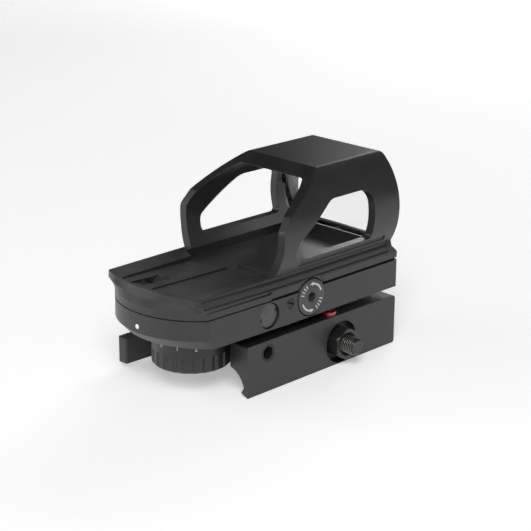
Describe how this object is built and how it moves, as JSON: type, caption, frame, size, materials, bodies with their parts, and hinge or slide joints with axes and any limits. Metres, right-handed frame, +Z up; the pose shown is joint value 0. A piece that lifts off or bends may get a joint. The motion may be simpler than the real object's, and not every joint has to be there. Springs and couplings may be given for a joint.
{
  "type": "red dot finder",
  "caption": "Open reflex dot finder: barrel-sided lens hood on a tray housing with a brightness dial, windage screw and battery cap, on a quick-release rail clamp.",
  "frame": {"origin": "centre of the rail seat, on the face that lies on top of the rail, midway along the sighting axis datum", "axes": "+X forward, from the tray and its dial to the lens; +Y to the quick-release lever side; +Z up"},
  "size_m": [0.0972, 0.0553, 0.067],
  "materials": {
    "anodised": "satin black anodised",
    "anodised_lower": "satin black anodised",
    "anodised_mount": "satin black anodised",
    "coated_glass": "clear with a thin reflective coating",
    "window_glass": "clear",
    "ring_grey": "bare satin",
    "white_paint": "filled white paint dot",
    "black_plastic": "moulded",
    "cell_steel": "bright nickel",
    "spring_steel": "drawn wire and stamped strip",
    "zinc_steel": "zinc plated",
    "cap_grey": "blasted and filled face",
    "seal_rubber": "o-ring",
    "board": "solder mask",
    "chip_plastic": "moulded chips",
    "brass": "machined",
    "led_resin": "tinted resin",
    "black_steel": "black oxide",
    "gunmetal": "dark oxide with bright thread edges",
    "dial_black": "satin black anodised",
    "screw_grey": "plain face, lightly oxidised",
    "red_plastic": "red moulded ring"
  },
  "bodies": {
    "sight": {"hood_frame": "anodised", "lower_housing": "anodised_lower", "lens": "coated_glass", "lens_retainer": "ring_grey", "index_dot": "white_paint", "battery_holder": "black_plastic", "battery_cells": "cell_steel", "battery_spring": "spring_steel", "circuit_board": "board", "board_chips": "chip_plastic", "board_screws": "zinc_steel", "guide_rod": "zinc_steel", "windage_spring": "spring_steel", "emitter_window": "window_glass", "detent_ball": "spring_steel", "detent_spring": "spring_steel", "housing_screws": "black_steel", "mount_base": "anodised_mount", "mount_screws": "black_steel", "mount_spacers": "anodised_mount", "levelling_screws": "black_steel", "red_rings": "red_plastic", "set_screw": "black_steel", "guide_pins": "zinc_steel", "jaw_springs": "spring_steel", "clamp_bolt": "gunmetal", "lever_pin": "zinc_steel"},
    "brightness_dial": {"brightness_dial": "dial_black", "dial_screw": "black_steel", "dial_clip": "spring_steel", "dial_wiper": "brass"},
    "emitter_carriage": {"emitter_carriage": "brass", "emitter_washer": "spring_steel"},
    "emitter_block": {"emitter_block": "black_plastic", "led": "led_resin"},
    "windage_screw": {"windage_screw": "screw_grey", "windage_clip": "spring_steel"},
    "elevation_screw": {"elevation_screw": "black_steel"},
    "lock_screw": {"lock_screw": "black_steel"},
    "cap_seal": {"cap_seal": "seal_rubber"},
    "battery_cap": {"battery_cap": "cap_grey"},
    "clamp_jaw": {"clamp_jaw": "anodised_mount"},
    "qd_lever": {"qd_lever": "anodised_mount"},
    "clamp_washer": {"clamp_washer": "black_steel"},
    "clamp_nut": {"clamp_nut": "gunmetal"}
  },
  "joints": [
    {"name": "dial_turn", "type": "hinge", "parent": "sight", "child": "brightness_dial", "pos_m": [-0.03865, 0, 0.006], "axis": [0, 0, 1], "range_deg": [0, 300]},
    {"name": "windage_turn", "type": "hinge", "parent": "sight", "child": "windage_screw", "pos_m": [-0.0256, -0.0217, 0.017], "axis": [0, 1, 0], "range_deg": [-360, 360]},
    {"name": "windage_slide", "type": "slide", "parent": "sight", "child": "emitter_carriage", "axis": [0, 1, 0], "range_m": [-0.0005, 0.0005]},
    {"name": "elevation_turn", "type": "hinge", "parent": "emitter_carriage", "child": "elevation_screw", "pos_m": [-0.0542, 0.0045, 0.013], "axis": [0, 0, 1], "range_deg": [-360, 360]},
    {"name": "elevation_slide", "type": "slide", "parent": "emitter_carriage", "child": "emitter_block", "axis": [0, 0, 1], "range_m": [-0.0005, 0.0005]},
    {"name": "lock_turn", "type": "hinge", "parent": "sight", "child": "lock_screw", "pos_m": [-0.0164, -0.021, 0.0189], "axis": [0, 1, 0], "range_deg": [0, 180]},
    {"name": "cap_unscrew", "type": "slide", "parent": "sight", "child": "cap_seal", "axis": [0, -1, 0], "range_m": [0, 0.003]},
    {"name": "cap_turn", "type": "hinge", "parent": "cap_seal", "child": "battery_cap", "pos_m": [-0.0068, -0.021, 0.0186], "axis": [0, 1, 0], "range_deg": [0, 1080]},
    {"name": "jaw_slide", "type": "slide", "parent": "sight", "child": "clamp_jaw", "axis": [0, 1, 0], "range_m": [0, 0.0016]},
    {"name": "lever_swing", "type": "hinge", "parent": "sight", "child": "qd_lever", "pos_m": [0.0087, 0.02302, -0.0011], "axis": [0, 0, -1], "range_deg": [0, 95]},
    {"name": "nut_unscrew", "type": "slide", "parent": "sight", "child": "clamp_washer", "axis": [0, -1, 0], "range_m": [0, 0.002]},
    {"name": "nut_turn", "type": "hinge", "parent": "clamp_washer", "child": "clamp_nut", "pos_m": [0.0087, -0.022, -0.0011], "axis": [0, 1, 0], "range_deg": [0, 720]}
  ],
  "couplings": [
    {"joint": "windage_turn", "follows": "windage_slide", "rad_per_m": 12566},
    {"joint": "elevation_turn", "follows": "elevation_slide", "rad_per_m": 12566},
    {"joint": "cap_turn", "follows": "cap_unscrew", "rad_per_m": 6283.2},
    {"joint": "jaw_slide", "follows": "lever_swing", "m_per_rad": 0.00096498},
    {"joint": "nut_turn", "follows": "nut_unscrew", "rad_per_m": 6283.2}
  ]
}
